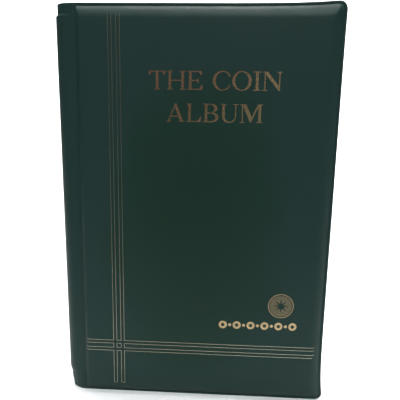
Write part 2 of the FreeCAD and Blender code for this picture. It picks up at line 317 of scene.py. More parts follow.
def flare_corners(x, z):
    """Sets a cover's free corners out a little, as the welded film draws in between them."""
    at_side = ease((x - COVER_RIGHT + FLARE_SIDE) / FLARE_SIDE)
    at_head = ease((z - HEIGHT + FLARE_TOP) / FLARE_TOP)
    out_low = FOOT_OUT * np.exp(-z / FOOT_OUT_LENGTH)
    out_high = HEAD_OUT * np.exp((z - HEIGHT) / HEAD_OUT_LENGTH)
    up = HEAD_UP * np.exp((x - COVER_RIGHT) / HEAD_UP_LENGTH)
    return x + (out_low + out_high) * at_side, z + up * at_head


def cover_inset(x, z):
    """Distances of a place on a cover from its free edges and from its hinge."""
    ends = np.minimum(z, HEIGHT - z)
    return np.minimum(ends, COVER_RIGHT - x), x - COVER_LEFT


def pressed_edge(inset, depth):
    """Height of the flat weld round a cover, with the fine groove inside it."""
    from_edge = inset[0]
    groove = depth * np.exp(-(((from_edge - GROOVE_INSET) / GROOVE_WIDTH) ** 2))
    return WELD_FILM * swell(from_edge / WELD_ROUND) - groove


def into_pad(inset):
    """Distances into the padded part from its free edges and from its hinge side."""
    return inset[0] - RIM, inset[1] - HINGE_LAND


def skin_height(x, z, inset):
    """Height of a cover's outer face above the plane of the welds."""
    from_rim, from_hinge = into_pad(inset)
    from_sides = arch(from_rim / SHOULDER)
    slopes = soft_min(from_sides, swell(from_hinge / HINGE_SHOULDER, 2.0), SLOPE_BLEND)
    inside = (from_rim > 0) & (from_hinge > 0)
    rise = (SKIN_RISE - WELD_FILM - CROWN - RIPPLE) * np.where(inside, np.maximum(slopes, 0), 0)
    near = np.minimum(from_rim, from_hinge)
    crown = CROWN * ease(near / CROWN_REACH)
    uneven = RIPPLE * ripple(x, z) * ease((near - 1) / RIPPLE_REACH)
    along_rim = np.exp(-(((from_rim - PUCKER_INSET) / PUCKER_WIDTH) ** 2))
    tuck = PUCKER * pucker(x + z) * along_rim * inside * ease(from_hinge / PUCKER_REACH)
    return pressed_edge(inset, SKIN_GROOVE) + rise + crown + uneven + tuck


def lining_height(x, z, inset):
    """Height of a cover's inner face, inwards from the plane of the welds."""
    from_rim, from_hinge = into_pad(inset)
    from_sides = swell(from_rim / LINING_SHOULDER, LINING_POWER)
    from_fold = swell(from_hinge / LINING_HINGE_SHOULDER, LINING_POWER)
    slopes = soft_min(from_sides, from_fold, SLOPE_BLEND)
    inside = (from_rim > 0) & (from_hinge > 0)
    rise = (LINING_RISE - WELD_FILM - LINING_ROOM) * np.where(inside, np.maximum(slopes, 0), 0)
    near = np.minimum(from_rim, from_hinge)
    uneven = LINING_RIPPLE * ripple(x + 40, z + 15) * ease((near - 1) / LINING_RIPPLE_REACH)
    return pressed_edge(inset, LINING_GROOVE) + rise + uneven


def film_underside(height, inset, thickness):
    """The hidden face of a film, which lies in the plane of the welds outside the pad."""
    near = np.minimum(*into_pad(inset))
    return np.maximum(height - thickness, 0) * ease(near / FILM_PARTS)


def make_cover(name, side):
    """Skin, foam and lining of the cover at the front (side -1) or the back (side 1)."""
    x, z, inset = cover_grid()
    shifted = x + (BACK_SHIFT if side > 0 else 0)
    top = skin_height(shifted, z, inset)
    under = film_underside(top, inset, SKIN_FILM)
    skin = film(
        f"{name}_cover_film",
        stacked(x, side * (WELD_Y + top), z),
        stacked(x, side * (WELD_Y + under), z),
    )
    finish_piece(skin, f"{name}_cover", "cover_vinyl", f"{name}_cover_skin")

    low = lining_height(shifted, z, inset)
    hidden = film_underside(low, inset, LINING_FILM)
    lining = film(
        f"{name}_cover_lining",
        stacked(x, side * (WELD_Y - low), z),
        stacked(x, side * (WELD_Y - hidden), z),
    )
    finish_piece(lining, f"{name}_cover", "lining_vinyl", f"{name}_lining")

    inner = (x > COVER_LEFT + FOAM_HINGE_INSET) & (x < COVER_RIGHT - FOAM_INSET)
    inner = inner & (z > FOAM_INSET) & (z < HEIGHT - FOAM_INSET)
    rows = np.nonzero(inner.any(axis=1))[0]
    cols = np.nonzero(inner.any(axis=0))[0]
    part = np.ix_(rows, cols)
    foam = film(
        f"{name}_foam",
        stacked(x, side * (WELD_Y + under - FOAM_FILM_GAP), z)[part],
        stacked(x, side * (WELD_Y + BOARD_OUT + FOAM_BOARD_GAP), z)[part],
    )
    finish_piece(foam, f"{name}_cover", "foam", f"{name}_foam_pad")


# ---------------------------------------------------------------- hinges and spine

END_LINES = (0, 0.1, 0.25, 0.6, 1.1, 1.3, 1.5, 2.2, 3.5)
SPINE_FOOT_LINES = (
    0, 0.1, 0.25, 0.7, 1.1, 1.3, 1.5, 2.2, 3.2, 4.4, 5.6, 6.8, 8, 9, 9.7, 10.4, 11.1, 11.8, 13, 15
)
SPINE_HEAD_LINES = (
    0, 0.1, 0.25, 0.7, 1.1, 1.3, 1.5, 2.4, 3.4, 4.2, 4.6, 4.8, 5, 5.2, 5.4, 5.6, 6, 7, 8.5, 10
)
HINGE_DIP = 0.1

# where the spine's films are drawn in: one step at the head, a step and a taper at the foot
PINCH = 0.8
HEAD_STEP_START = 5.6
HEAD_STEP_LENGTH = 1.0
FOOT_STEP_START = 12
FOOT_STEP_LENGTH = 4
FOOT_TAPER = 7.2

# how far from the hinge a film of the spine can be drawn in, and over what length
HELD_BY_HINGE = 0.3
FREED_OVER = 6.5

# the spine's outer film: its groove, its slack between foot and head, its thinnest edge
SPINE_GROOVE = 0.07
SPINE_GROOVE_WIDTH = 0.12
SPINE_SLACK = 0.04
THIN_EDGE = 0.35


def end_round(z):
    """Thins a welded film at the foot and the head, from 0 at the edge to 1."""
    return swell(np.minimum(z, HEIGHT - z) / WELD_ROUND)


def make_hinge(name, side):
    """The pressed strip between the spine and a cover."""
    across = np.linspace(-HINGE_HALF, HINGE_HALF, HINGE_POINTS)
    zs = graded(0, HEIGHT, END_LINES, END_LINES, STEP_UP)
    u, z = np.meshgrid(across, zs, indexing="ij")
    dip = HINGE_DIP * np.cos(u / HINGE_HALF * math.pi / 2) ** 2
    thick = (WELD_FILM - dip) * end_round(z)
    strip = film(
        f"{name}_hinge_weld",
        stacked(HINGE_X + u - lean(z), side * (WELD_Y + thick), z),
        stacked(HINGE_X + u - lean(z), side * (WELD_Y - thick), z),
    )
    put_material(strip, "cover_vinyl")
    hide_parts(f"{name}_hinge_strip")
    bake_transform(strip)


def pinch_depth(z):
    """How far the spine's skin is drawn in past the ends of its card, at the foot and the head."""
    head = PINCH * ease((z - (HEIGHT - HEAD_STEP_START)) / HEAD_STEP_LENGTH)
    foot = PINCH * ease((FOOT_STEP_START - z) / FOOT_STEP_LENGTH)
    return head + foot + lining_pinch_depth(z)


def lining_pinch_depth(z):
    """How far the inner film is drawn in: only by the taper at the foot."""
    return PINCH * ease((FOOT_TAPER - z) / FOOT_TAPER)


def spine_section(depth, ends):
    """A layer's line in plan, front to back: end points, a round corner, the back, mirrored.

    Gives the points, the way inwards at each, and how free each is to be drawn in.
    """
    radius = SPINE_CORNER - depth
    centre_x = SPINE_BACK + SPINE_CORNER
    centre_y = WELD_Y + WELD_FILM - SPINE_CORNER
    flat_y = centre_y + radius
    near_hinge = np.array(ends[-1])
    strip_x = np.linspace(near_hinge[0], centre_x, LAND_POINTS)[:-1]
    strip = [(x, -flat_y) for x in strip_x]
    turns = np.linspace(0, math.pi / 2, CORNER_POINTS)
    corner = [(centre_x - radius * math.sin(t), -centre_y - radius * math.cos(t)) for t in turns]
    ways = [(0, 1)] * len(strip) + [(math.sin(t), math.cos(t)) for t in turns]
    back_y = np.linspace(-centre_y, 0, BACK_POINTS)[1:]
    back = [(SPINE_BACK + depth, y) for y in back_y]
    ways += [(1, 0)] * len(back)
    half = np.array(list(ends[:-1]) + strip + corner + back)
    ways = np.array([(0, 1)] * (len(ends) - 1) + ways, float)
    free = ease((near_hinge[0] - half[:, 0] - HELD_BY_HINGE) / FREED_OVER)
    free[: len(ends) - 1] = 0
    xy = np.concatenate([half, half[-2::-1] * [1, -1]])
    inward = np.concatenate([ways, ways[-2::-1] * [1, -1]])
    return xy, inward, np.concatenate([free, free[-2::-1]])


def spine_surface(section, zs, pinch, leans=False):
    """The section carried from foot to head and drawn in by pinch. It can lean with its hinges."""
    xy, inward, free = section
    depth = free[:, None] * pinch(zs)[None, :]
    x = xy[:, 0][:, None] + inward[:, 0][:, None] * depth
    if leans:
        corner_x = SPINE_BACK + SPINE_CORNER
        x = x - lean(zs) * np.clip((x - corner_x) / (HINGE_X - HINGE_HALF - corner_x), 0, 1)
    y = xy[:, 1][:, None] + inward[:, 1][:, None] * depth
    return stacked(x, y, zs[None, :])


def make_spine():
    """The spine's skin and lining, welded together at the foot, the head and both hinges."""
    zs = graded(0, HEIGHT, SPINE_FOOT_LINES, SPINE_HEAD_LINES, STEP_UP)
    land_x = HINGE_X - HINGE_HALF
    weld_y = WELD_Y + WELD_FILM - SKIN_FILM
    lining_depth = SKIN_FILM + CARD_THICK
    lip_x = land_x - LINING_FILM

    def skin_pinch(z):
        from_end = np.minimum(z, HEIGHT - z)
        groove = SPINE_GROOVE * np.exp(-(((from_end - GROOVE_INSET) / SPINE_GROOVE_WIDTH) ** 2))
        sway = 0.5 + 0.3 * np.sin(0.045 * z + 1.0) + 0.2 * np.sin(0.13 * z)
        slack = ease((z - 16) / 20) * ease((HEIGHT - 6 - z) / 8)
        return pinch_depth(z) + groove - SPINE_SLACK * sway * slack

    outer = spine_surface(spine_section(0, [(land_x, 0)]), zs, skin_pinch, leans=True)
    inner = spine_surface(spine_section(SKIN_FILM, [(land_x, 0)]), zs, pinch_depth, leans=True)
    thin = np.maximum(end_round(zs), THIN_EDGE)[None, :, None]
    skin = film("spine_film", inner + (outer - inner) * thin, inner)
    finish_piece(skin, "spine", "cover_vinyl", "spine_skin")

    outer = spine_surface(
        spine_section(lining_depth, [(lip_x, -weld_y), (lip_x, 0)]), zs, lining_pinch_depth
    )
    inner = spine_surface(
        spine_section(lining_depth + LINING_FILM, [(land_x, -weld_y), (land_x, 0)]),
        zs,
        lining_pinch_depth,
    )
    lining = film("spine_inner_film", outer, inner)
    finish_piece(lining, "spine", "lining_vinyl", "spine_lining")


# ---------------------------------------------------------------- foil

FOIL_LIFT = 0.03
FOIL_ROOT = 0.04
RULE_HALF = 0.12
UPRIGHT_RULES = [HINGE_X + d for d in (16.1, 17.72, 19.88, 21.52)]
LEVEL_RULES = [24.75, 26.45, 28.8, 30.5]
RULES_FOOT = 6.6
RULES_HEAD = HEIGHT - 4.9
RULES_LEFT = HINGE_X + 0.95
RULES_RIGHT = COVER_RIGHT - 3.8

# the rules' grid is finer this near their ends, except across a long gap
RULES_END = 6
RULES_FINE_STEP = 0.6
LONG_GAP = 30


def foil_y(x, z, lift):
    """Depth of a place on the front cover's face, raised by lift."""
    return -(WELD_Y + skin_height(x, z, cover_inset(x, z)) + lift)


def rule_lines(rules, start, stop):
    """Grid lines at both sides of each rule, with others between them, finer near both ends."""
    marks = [start, start + 2 * RULE_HALF, start + RULES_END, stop - RULES_END, stop]
    marks = sorted(marks + [r + s for r in rules for s in (-RULE_HALF, RULE_HALF)])
    lines = []
    for a, b in zip(marks, marks[1:]):
        fine = min(a - start, stop - b) < RULES_END and b - a < LONG_GAP
        count = max(1, int(math.ceil((b - a) / (RULES_FINE_STEP if fine else STEP_UP))))
        lines += list(np.linspace(a, b, count, endpoint=False))
    return np.array(lines + [stop])


def make_rules():
    """Two bands of four rules. Each band's two lanes run open through the other band.

    The upright band's two lanes are closed at the foot.
    """
    xs = rule_lines(UPRIGHT_RULES, RULES_LEFT, RULES_RIGHT)
    zs = rule_lines(LEVEL_RULES, RULES_FOOT - 2 * RULE_HALF, RULES_HEAD)
    mid_x = (xs[:-1] + xs[1:])[:, None] / 2
    mid_z = (zs[:-1] + zs[1:])[None, :] / 2

    def on_rule(middle, rules):
        return np.any([abs(middle - r) < RULE_HALF for r in rules], axis=0)

    def in_lane(middle, rules):
        first = (middle > rules[0] + RULE_HALF) & (middle < rules[1] - RULE_HALF)
        second = (middle > rules[2] + RULE_HALF) & (middle < rules[3] - RULE_HALF)
        return first | second

    uprights = on_rule(mid_x, UPRIGHT_RULES) & ~in_lane(mid_z, LEVEL_RULES)
    levels = on_rule(mid_z, LEVEL_RULES) & ~in_lane(mid_x, UPRIGHT_RULES)
    levels &= mid_z > RULES_FOOT
    closed_ends = in_lane(mid_x, UPRIGHT_RULES) & (mid_z < RULES_FOOT)
    kept = uprights | levels | closed_ends
    x, z = np.meshgrid(xs, zs, indexing="ij")
    rules = film(
        "foil_rules",
        stacked(lean_cover(x, z), foil_y(x, z, FOIL_LIFT), z),
        stacked(lean_cover(x, z), foil_y(x, z, -FOIL_ROOT), z),
        kept,
    )
    finish_piece(rules, "front_cover", "foil")
    put_material(rules, "rule_foil")


# Letters are drawn with a cap height of 1. Each is its width and a list of outlines, which are
# drawn with corners and arcs. An outline inside another is a hole.
SERIF = 0.05
BAR = 0.065
ARC_STEP_DEG = 12


def arc(cx, cy, rx, ry, start_deg, end_deg):
    """Points along an ellipse, from one angle to another."""
    steps = max(4, int(abs(end_deg - start_deg) / ARC_STEP_DEG))
    turns = np.radians(np.linspace(start_deg, end_deg, steps + 1))
    return [(cx + rx * math.cos(t), cy + ry * math.sin(t)) for t in turns]


def serif_foot(left, stem_left, stem_right, right):
    """The foot of an upright stroke, from its left side round to its right side."""
    return [
        (stem_left, SERIF), (left, SERIF), (left, 0), (right, 0), (right, SERIF), (stem_right, SERIF)
    ]


def serif_head(right, stem_right, stem_left, left):
    """The head of an upright stroke, from its right side round to its left side."""
    top = 1 - SERIF
    return [
        (stem_right, top), (right, top), (right, 1), (left, 1), (left, top), (stem_left, top)
    ]


def left_stem_foot():
    """The foot of the stem at a letter's left side."""
    return serif_foot(0, 0.09, 0.225, 0.315)


LETTERS = {
    "I": (0.40, [serif_foot(0, 0.13, 0.27, 0.40) + serif_head(0.40, 0.27, 0.13, 0)]),
    "H": (0.98, [
        left_stem_foot() + [(0.225, 0.47), (0.755, 0.47)] + serif_foot(0.665, 0.755, 0.89, 0.98)
        + serif_head(0.98, 0.89, 0.755, 0.665) + [(0.755, 0.53), (0.225, 0.53)]
        + serif_head(0.315, 0.225, 0.09, 0)
    ]),
    "T": (0.86, [
        serif_foot(0.27, 0.36, 0.50, 0.59)
        + [(0.50, 0.94), (0.70, 0.94), (0.81, 0.75), (0.86, 0.75), (0.86, 1)]
        + [(0, 1), (0, 0.75), (0.05, 0.75), (0.16, 0.94), (0.36, 0.94)]
    ]),
    "E": (0.80, [
        [(0.09, SERIF), (0, SERIF), (0, 0), (0.78, 0), (0.80, 0.27), (0.75, 0.27), (0.64, BAR)]
        + [(0.225, BAR), (0.225, 0.47), (0.50, 0.47), (0.55, 0.38), (0.59, 0.38), (0.59, 0.63)]
        + [(0.55, 0.63), (0.50, 0.53), (0.225, 0.53), (0.225, 0.94), (0.60, 0.94)]
        + [(0.70, 0.76), (0.745, 0.76), (0.73, 1), (0, 1), (0, 0.95), (0.09, 0.95)]
    ]),
    "L": (0.78, [
        [(0.09, SERIF), (0, SERIF), (0, 0), (0.74, 0), (0.78, 0.30), (0.73, 0.30), (0.60, BAR)]
        + [(0.225, BAR)] + serif_head(0.315, 0.225, 0.09, 0)
    ]),
    "N": (1.0, [
        [(0.09, SERIF), (0, SERIF), (0, 0), (0.26, 0), (0.26, SERIF), (0.15, SERIF)]
        + [(0.15, 0.86), (0.825, 0), (0.89, 0), (0.89, 0.95), (1, 0.95), (1, 1), (0.72, 1)]
        + [(0.72, 0.95), (0.83, 0.95), (0.83, 0.26), (0.25, 1), (0, 1), (0, 0.95), (0.09, 0.95)]
    ]),
    "A": (0.98, [
        [(0.09, SERIF), (0, SERIF), (0, 0), (0.27, 0), (0.27, SERIF), (0.165, SERIF)]
        + [(0.245, 0.27), (0.645, 0.27), (0.725, SERIF), (0.63, SERIF), (0.63, 0), (0.98, 0)]
        + [(0.98, SERIF), (0.89, SERIF), (0.54, 1), (0.46, 1)],
        [(0.27, 0.33), (0.62, 0.33), (0.447, 0.80)],
    ]),
    "M": (1.2, [
        [(0.10, SERIF), (0, SERIF), (0, 0), (0.26, 0), (0.26, SERIF), (0.155, SERIF)]
        + [(0.155, 0.90), (0.55, 0), (0.575, 0), (0.955, 0.87), (0.955, SERIF), (0.86, SERIF)]
        + [(0.86, 0), (1.19, 0), (1.19, SERIF), (1.095, SERIF), (1.095, 0.95), (1.19, 0.95)]
        + [(1.19, 1), (0.92, 1), (0.62, 0.30), (0.31, 1), (0, 1), (0, 0.95), (0.10, 0.95)]
    ]),
    "B": (0.82, [
        [(0.09, SERIF), (0, SERIF), (0, 0)]
        + arc(0.46, 0.27, 0.35, 0.27, -90, 72) + arc(0.44, 0.765, 0.30, 0.235, -72, 90)
        + [(0, 1), (0, 0.95), (0.09, 0.95)],
        [(0.225, BAR)] + arc(0.43, 0.27, 0.215, 0.205, -90, 90) + [(0.225, 0.475)],
        [(0.225, 0.535)] + arc(0.40, 0.74, 0.18, 0.205, -90, 90) + [(0.225, 0.945)],
    ]),
    "C": (0.92, [
        arc(0.50, 0.5, 0.50, 0.52, 42, 318) + [(0.90, 0.27), (0.86, 0.29)]
        + arc(0.53, 0.5, 0.37, 0.465, 312, 48) + [(0.86, 0.69), (0.90, 0.69)]
    ]),
    "O": (1.0, [
        arc(0.5, 0.5, 0.5, 0.52, 0, 345),
        arc(0.5, 0.5, 0.345, 0.47, 0, 345),
    ]),
    "U": (0.92, [
        [(0.09, 0.95)] + arc(0.45, 0.32, 0.36, 0.34, 180, 360)
        + [(0.81, 0.95), (0.91, 0.95), (0.91, 1), (0.65, 1), (0.65, 0.95), (0.755, 0.95)]
        + arc(0.49, 0.32, 0.265, 0.27, 360, 180)
        + [(0.225, 0.95), (0.315, 0.95), (0.315, 1), (0, 1), (0, 0.95)]
    ]),
    " ": (0.36, []),
}


def stamped(name, outlines):
    """Foil in the shape of flat outlines, in millimetres, laid on the front cover's face."""
    curve = bpy.data.curves.new(name, "CURVE")
    curve.dimensions = "2D"
    curve.fill_mode = "BOTH"
    curve.extrude = 1.0
    for outline in outlines:
        spline = curve.splines.new("POLY")
        spline.points.add(len(outline) - 1)
        spline.points.foreach_set("co", [c for x, z in outline for c in (x, z, 0, 1)])
        spline.use_cyclic_u = True
    helper = bpy.data.objects.new(f"{name}_outline", curve)
    bpy.context.scene.collection.objects.link(helper)
    graph = bpy.context.evaluated_depsgraph_get()
    flat = bpy.data.meshes.new_from_object(helper.evaluated_get(graph))
    bpy.data.objects.remove(helper)
    tidy = bmesh.new()
    tidy.from_mesh(flat)
    bmesh.ops.remove_doubles(tidy, verts=tidy.verts, dist=0.001)
    tidy.verts.index_update()
    local = np.array([v.co for v in tidy.verts])
    faces = [[v.index for v in f.verts] for f in tidy.faces]
    tidy.free()
    lift = np.where(local[:, 2] > 0, FOIL_LIFT, -FOIL_ROOT)
    x, z = local[:, 0], local[:, 1]
    thing = mesh_object(name, stacked(x, foil_y(x, z, lift), z), faces)
    finish_piece(thing, "front_cover", "foil")


TITLE_MIDDLE = HINGE_X + 65.3
TITLE_CAP = 8.4
LETTER_WIDENING = 1.06
TITLE_LINES = (("upper", "THE COIN", 61.0, 156.8), ("lower", "ALBUM", 44.9, 142.3))


def line_of_text(text, left, right, foot):
    """Outlines of a line of letters, spaced to run from left to right."""
    wide = TITLE_CAP * LETTER_WIDENING
    widths = [LETTERS[c][0] * wide for c in text]
    space = (right - left - sum(widths)) / (len(text) - 1)
    outlines, x = [], left
    for letter, width in zip(text, widths):
        for outline in LETTERS[letter][1]:
            outlines.append([(x + px * wide, foot + pz * TITLE_CAP) for px, pz in outline])
        x += width + space
    return outlines


def make_title():
    """A plain two-line title that says what the album is."""
    for row, text, width, foot in TITLE_LINES:
        left, right = TITLE_MIDDLE - width / 2, TITLE_MIDDLE + width / 2
        stamped(f"foil_title_{row}", line_of_text(text, left, right, foot))


def ring(x, z, outer, inner, teeth=0, depth=0.0):
    """Outlines of a ring, with a milled outer edge if it has teeth."""
    count = 4 * teeth if teeth else RING_POINTS
    rim = []
    for k in range(count):
        radius = outer - (depth if teeth and k % 4 in (2, 3) else 0)
        turn = 2 * math.pi * k / count
        rim.append((x + radius * math.cos(turn), z + radius * math.sin(turn)))
    outlines = [rim]
    if inner > 0:
        turns = np.linspace(0, 2 * math.pi, RING_POINTS, endpoint=False)
        outlines.append([(x + inner * math.cos(t), z + inner * math.sin(t)) for t in turns])
    return outlines


def star(x, z, outer, inner, points):
    """Outline of a star, with a point at its head."""
    turns = np.pi / 2 + np.arange(2 * points) * np.pi / points
    radii = np.where(np.arange(2 * points) % 2 == 0, outer, inner)
    return [(x + r * math.cos(t), z + r * math.sin(t)) for r, t in zip(radii, turns)]


def crossings(outline, z):
    """Where a level line crosses an outline, from left to right."""
    places = []
    for (x0, z0), (x1, z1) in zip(outline, outline[1:] + outline[:1]):
        if (z0 > z) != (z1 > z):
            places.append(x0 + (z - z0) * (x1 - x0) / (z1 - z0))
    return sorted(places)


SHORTEST_BAR = 0.2


def hatching(field, clear, pitch, half):
    """Fine level bars that fill one outline and leave the outline inside it clear."""
    bars = []
    low, high = min(z for _, z in field), max(z for _, z in field)
    for z in np.arange(low + pitch / 2, high, pitch):
        stops = sorted(crossings(field, z) + crossings(clear, z))
        for left, right in zip(stops[::2], stops[1::2]):
            if right - left > SHORTEST_BAR:
                low_side = [(left, z - half), (right, z - half)]
                bars.append(low_side + [(right, z + half), (left, z + half)])
    return bars


ROUNDEL_X = HINGE_X + 100.7
ROUNDEL_Z = 52.6
COIN_ROW_LEFT = HINGE_X + 72.0
COIN_ROW_RIGHT = HINGE_X + 107.0
COIN_ROW_Z = 41.65
COINS_IN_ROW = 11


def make_emblem():
    """A plain mark of coins: a milled, engraved roundel over a row of rings and discs."""
    outlines = ring(ROUNDEL_X, ROUNDEL_Z, outer=6.4, inner=6.0, teeth=36, depth=0.25)
    field = ring(ROUNDEL_X, ROUNDEL_Z, outer=5.5, inner=0)[0]
    clear = star(ROUNDEL_X, ROUNDEL_Z, outer=3.9, inner=1.3, points=8)
    outlines += hatching(field, clear, pitch=0.45, half=0.06)
    for k, x in enumerate(np.linspace(COIN_ROW_LEFT, COIN_ROW_RIGHT, COINS_IN_ROW)):
        outer, inner = (2.05, 0.9) if k % 2 == 0 else (0.8, 0)
        outlines += ring(x, COIN_ROW_Z, outer, inner)
    stamped("foil_emblem", outlines)


# ---------------------------------------------------------------- pages

page_low = box_mm("page_01")[0]
film_low, film_high = box_mm("page_01_pockets")

# as in the CAD
FILM_CORNER = 3.5
POCKET = 31.5
PITCH_ACROSS = 34.5
PITCH_UP = 35.0
FIRST_ACROSS = 8.5
FIRST_UP = 4.5
SLIT_INSET = 2.25
SLIT_DROP = 3.0
SLIT_TALL = 1.2

POCKET_LEFT = page_low[0] + FIRST_ACROSS
POCKET_FOOT = page_low[2] + FIRST_UP
SLIT_TOP = POCKET - SLIT_DROP

# thinner than in the CAD
POCKET_FILM = 0.12

# heights in a pocket's film and the reaches of its slopes
PUFF = 0.378
PUFF_SLOPE = 3.2
PUFF_CROWN = 0.126
LIP = 0.054
LIP_WIDTH = 1.6
SLACK = 0.045

# grid lines in a pocket, across and up
WELD_LINES = (0, 0.35, 0.9, 1.6, SLIT_INSET, 3.2, 5, 8, 12)
ACROSS_LINES = WELD_LINES + (POCKET / 2,) + tuple(POCKET - m for m in WELD_LINES)
SLIT_LINES = (SLIT_TOP - SLIT_TALL, SLIT_TOP - SLIT_TALL / 2, SLIT_TOP)
UP_LINES = (
    0, 0.35, 0.9, 1.6, 3.2, 5, 8, 12, 16, 20, 24, 26, *SLIT_LINES, 29.3, 29.9, 30.6, 31.15, POCKET
)


def pocket_lines(start, first, pitch, count, stop, marks):
    """Grid lines of a row of pockets: at the same marks in each, with margins outside."""
    lines = [start, start + 0.5]
    for k in range(count):
        lines += [first + k * pitch + m for m in marks]
    lines += [stop - FILM_CORNER, stop - 2, stop - 0.8, stop]
    return np.array(sorted(set(round(v, 4) for v in lines)))


def pocket_height(u, v, column, row, page):
    """Height of the pocket film over its backing at a place in a pocket's own axes."""
    edge = np.minimum(np.minimum(u, POCKET - u), np.minimum(v, POCKET - v))
    swollen = PUFF * swell(edge / PUFF_SLOPE, 2.0) + PUFF_CROWN * ease(edge / 12)
    lip = LIP * np.exp(-(((v - SLIT_TOP) / LIP_WIDTH) ** 2)) * ease(edge / 2)
    slack = SLACK * np.sin(0.31 * u + 1.7 * column + page) * np.sin(0.27 * v + 2.3 * row)
    return np.where(edge > 0, swollen + lip + slack * ease(edge / 5), 0)


def make_pockets(number):
    """The clear front of a page: puffed pockets between flat welds, with a slot in each."""
    body = f"page_{number:02d}"
    backing_y = box_mm(body)[0][1]
    left, right = film_low[0], film_high[0]
    foot, head = film_low[2], film_high[2]
    xs = pocket_lines(left, POCKET_LEFT, PITCH_ACROSS, POCKETS_ACROSS, right, ACROSS_LINES)
    zs = pocket_lines(foot, POCKET_FOOT, PITCH_UP, POCKETS_UP, head, UP_LINES)
    x, z = np.meshgrid(xs, zs, indexing="ij")
    height = np.zeros(x.shape)
    kept = np.ones((len(xs) - 1, len(zs) - 1), bool)
    mid_x = (xs[:-1] + xs[1:])[:, None] / 2
    mid_z = (zs[:-1] + zs[1:])[None, :] / 2
    for column in range(POCKETS_ACROSS):
        for row in range(POCKETS_UP):
            u0 = POCKET_LEFT + column * PITCH_ACROSS
            v0 = POCKET_FOOT + row * PITCH_UP
            height += pocket_height(x - u0, z - v0, column, row, number)
            in_slit = (mid_x > u0 + SLIT_INSET) & (mid_x < u0 + POCKET - SLIT_INSET)
            in_slit = in_slit & (mid_z > v0 + SLIT_TOP - SLIT_TALL) & (mid_z < v0 + SLIT_TOP)
            kept &= ~in_slit
    x, z = round_right_corners(x, z, right, foot, head, FILM_CORNER)
    front = film(
        f"{body}_clear_front",
        stacked(x, backing_y - POCKET_FILM - height, z),
        stacked(x, backing_y - height, z),
        kept,
    )
    finish_piece(front, body, "pocket_film", f"{body}_pockets")


# ---------------------------------------------------------------- rivets

rivet_low, rivet_high = box_mm("binding_rivets")
RIVET_BORE = 0.95
RIVET_SHANK = 1.5
RIVET_HEAD_THICK = 0.5
RIVET_STEPS = 32


def rivet_profile(head):
    """Half a rivet in section, as (radius, y) from its bore out round its heads and its shank."""
    flat = rivet_high[1] - RIVET_HEAD_THICK
    side = [
        (RIVET_BORE, flat + 0.05),
        (RIVET_BORE + 0.1, flat + 0.38),
        (RIVET_SHANK, flat + RIVET_HEAD_THICK),
        (head - 0.28, flat + 0.42),
        (head - 0.05, flat + 0.28),
        (head, flat + 0.1),
        (head - 0.05, flat),
        (RIVET_SHANK, flat),
    ]
    return side + [(r, -y) for r, y in reversed(side)]


def make_rivets():
    """Tubular rivets: a hollow shank with a rolled head at each end."""
    middle_x = (rivet_low[0] + rivet_high[0]) / 2
    head = rivet_high[0] - middle_x
    profile = rivet_profile(head)
    spacing = (rivet_high[2] - rivet_low[2] - 2 * head) / 2
    verts, faces = [], []
    for k in (-1, 0, 1):
        base = len(verts)
        middle_z = (rivet_low[2] + rivet_high[2]) / 2 + k * spacing
        for s in range(RIVET_STEPS):
            turn = 2 * math.pi * s / RIVET_STEPS
            for r, y in profile:
                verts.append((middle_x + r * math.cos(turn), y, middle_z + r * math.sin(turn)))
        ring_size = len(profile)
        for s in range(RIVET_STEPS):
            this = base + s * ring_size
            following = base + (s + 1) % RIVET_STEPS * ring_size
            for p in range(ring_size):
                q = (p + 1) % ring_size
                faces.append((this + p, this + q, following + q, following + p))
    rivets = mesh_object("tube_rivets", verts, faces)
    finish_piece(rivets, "spine", "rivet_metal", "binding_rivets")


# ---------------------------------------------------------------- materials


